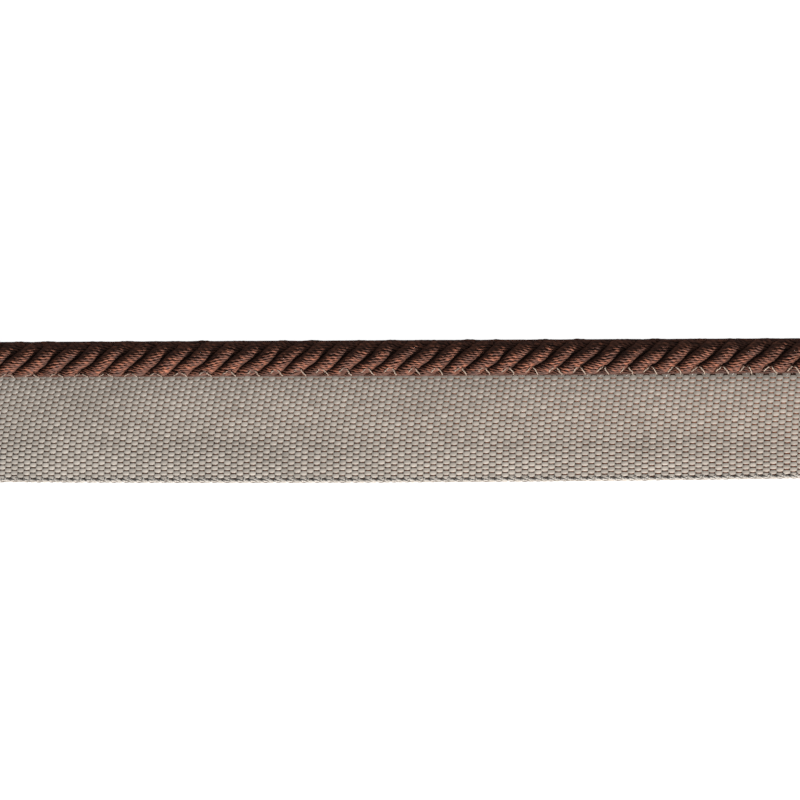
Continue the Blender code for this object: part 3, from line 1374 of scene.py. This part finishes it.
first_under = first_pick + first_pick % 2
first_shown = 2 * round(LOOPS_SHOW_FROM / PICK_WIDTH / 2)
outer_turns = selvedge_loops(OUTER_LOOP, WARP_ENDS - 1, 1, first_under, 1)
seam_turns = selvedge_loops(SEAM_LOOP, FIRST_ROW, -1, first_shown, -1)
for name, chains, ply_radius, ply_offset in (
    ("outer_loops", outer_turns, 0.00014, 0.00009),
    ("seam_loops", seam_turns, 0.00009, 0.00006),
):
    loops = grow(
        name,
        SPIN,
        start=chains_mesh(name + "_paths", chains),
        Plies=2,
        Sides=5,
        Ply_Radius=ply_radius,
        Ply_Offset=ply_offset,
        Turns_Per_Metre=900.0,
        Material=edge_yarn,
    )
    if name == "outer_loops":
        points = points_of(loops.data)
        points[:, 2] = LOOP_MIDDLE + (points[:, 2] - LOOP_MIDDLE) * LOOP_FLATNESS
        put_points(loops.data, points)
    print(name, len(chains), "turns,", triangle_count(loops.data), "triangles")
    cloth_pieces.append(loops)

# %% [markdown]
# ## The seam
#
# A pale thread joins the cord to the tape. From the tape's edge each stitch climbs the cord's side like
# "/", dives in between the yarns, comes out half a millimetre on and runs down again like "\". The pairs
# stand about 3 mm apart, not quite evenly, because the machine's feed and the cord's twist don't keep
# step. Towards the left end they stay low on the cord.

# %% Stitch the cord to the tape
THREAD_PLY_RADIUS = 0.000062
THREAD_PLY_OFFSET = 0.000045
LEG_RADIUS = CORD_RADIUS - 0.00004
STITCH_WOBBLE = 0.00006

# The corners of one stitch: how far along, how far from the cord's axis as seen from above, and how deep
STITCH_SHAPE = (
    (-0.00016, 0.00178, 0.00120),
    (-0.00006, 0.00160, 0.00050),
    (0.00006, 0.00144, 0.00008),
    (0.00030, 0.00120, 0.00004),
    (0.00052, 0.00102, 0.00018),
    (0.00062, 0.00094, 0.00120),
    (0.00088, 0.00094, 0.00120),
    (0.00094, 0.00102, 0.00014),
    (0.00114, 0.00128, 0.0),
    (0.00138, 0.00162, 0.00002),
    (0.00150, 0.00182, 0.00018),
    (0.00160, 0.00198, 0.00110),
)


STITCH_FOOT = 0.00198
LOW_STITCHES_TO = -0.030
FULL_STITCHES_FROM = -0.012
LOWEST_CLIMB = 0.45


def stitch_climb(x):
    """The share of its full climb that a stitch makes here. Near the left end the stitches stay low."""
    way = way_from(x, LOW_STITCHES_TO, FULL_STITCHES_FROM)
    return LOWEST_CLIMB + (1 - LOWEST_CLIMB) * way


def on_cord(x, from_axis, sunk):
    """A point on the cord's sewn side, this far from its axis and this deep under its surface."""
    up = np.sqrt(np.maximum(LEG_RADIUS**2 - from_axis**2, 0))
    return np.stack([x, AXIS_Y - from_axis, AXIS_HEIGHT + up - sunk], axis=1)


stitch_chains = []
for number in range(STITCHES):
    start = stitch_place(number)
    wobble = STITCH_WOBBLE * dice.standard_normal(len(STITCH_SHAPE))
    corners = np.array(STITCH_SHAPE)
    corners[:, 0] = start + corners[:, 0] + wobble
    corners[:, 1] = STITCH_FOOT - (STITCH_FOOT - corners[:, 1]) * stitch_climb(start)
    if corners[0, 0] > -HALF_LENGTH and corners[-1, 0] < HALF_LENGTH:
        stitch_chains.append(on_cord(*rounded(corners, 3).T))
stitches = grow(
    "joining_stitches",
    SPIN,
    start=chains_mesh("stitch_paths", stitch_chains),
    Plies=2,
    Sides=5,
    Ply_Radius=THREAD_PLY_RADIUS,
    Ply_Offset=THREAD_PLY_OFFSET,
    Turns_Per_Metre=1400.0,
    Material=thread_yarn,
)
print(len(stitch_chains), "stitches,", triangle_count(stitches.data), "triangles")

# %% [markdown]
# ## Floor and light
#
# The trim lies on a plain, almost white floor. One large soft light stands low on the tape's side, so the
# cord's near flank is lit and its far flank falls into shade, as on the real one. A dim, slightly cool
# world fills the shade.

# %% Floor, lights and world
FLOOR_SIZE = 1.2
FLOOR_GLOW = 0.97


def floor_paint():
    """Mid grey to the trim, so that little light bounces up, and near white where the camera sees it."""
    made = bpy.data.materials.new("pale_floor")
    made.use_nodes = True
    tree = made.node_tree
    seen = node(tree, "ShaderNodeLightPath").outputs["Is Camera Ray"]
    feeds = {
        "Base Color": (0.3, 0.3, 0.3, 1),
        "Roughness": 0.9,
        "Specular IOR Level": 0.1,
        "Emission Color": mixed(tree, seen, (0, 0, 0, 1), WHITE),
        "Emission Strength": FLOOR_GLOW,
    }
    feed_all(tree, tree.nodes["Principled BSDF"], feeds)
    return made


def plain_floor():
    mesh = grid_mesh("floor", 1, 1, FLOOR_SIZE / 2)
    mesh.materials.append(floor_paint())
    return linked("floor", mesh)


floor = plain_floor()


def soft_light(name, azimuth, elevation, distance, size, power, colour):
    """A square lamp that faces the trim. Azimuth 0 stands at -Y, and grows towards +X."""
    lamp = bpy.data.lights.new(name, "AREA")
    lamp.shape = "SQUARE"
    lamp.size = size
    lamp.energy = power
    lamp.color = colour
    made = linked(name, lamp)
    turn = math.radians(azimuth)
    lift = math.radians(elevation)
    made.location = (
        distance * math.cos(lift) * math.sin(turn),
        -distance * math.cos(lift) * math.cos(turn),
        distance * math.sin(lift),
    )
    made.rotation_euler = (math.pi / 2 - lift, 0, turn)
    made.visible_camera = False
    return made


soft_light("key", azimuth=10, elevation=22, distance=1.1, size=0.32, power=30.0, colour=(1.0, 0.97, 0.94))

world = bpy.data.worlds.new("studio")
world.use_nodes = True
sky = world.node_tree.nodes["Background"]
sky.inputs["Color"].default_value = (0.90, 0.95, 1.0, 1)
sky.inputs["Strength"].default_value = 0.25
bpy.context.scene.world = world
bpy.context.scene.view_settings.view_transform = "Standard"

# %% [markdown]
# ## Attach the pieces
#
# Nothing moves on a piece of trim, so every piece rides on its one body. The cord's pieces stand for the
# cord's solid and the tape's for the tape's.

# %% Ride and replace
for piece in cord_pieces:
    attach(piece, "root")
    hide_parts("twisted_cord")

for piece in cloth_pieces + [ground]:
    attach(piece, "root")
    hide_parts("woven_tape")

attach(stitches, "root")

steps = np.linspace(0, local_width(0), 400)
rise = np.diff(tape_underside(np.zeros(len(steps)), steps))

total = sum(triangle_count(piece.data) for piece in cord_pieces + cloth_pieces + [ground, stitches])
print("all pieces together:", total, "triangles")
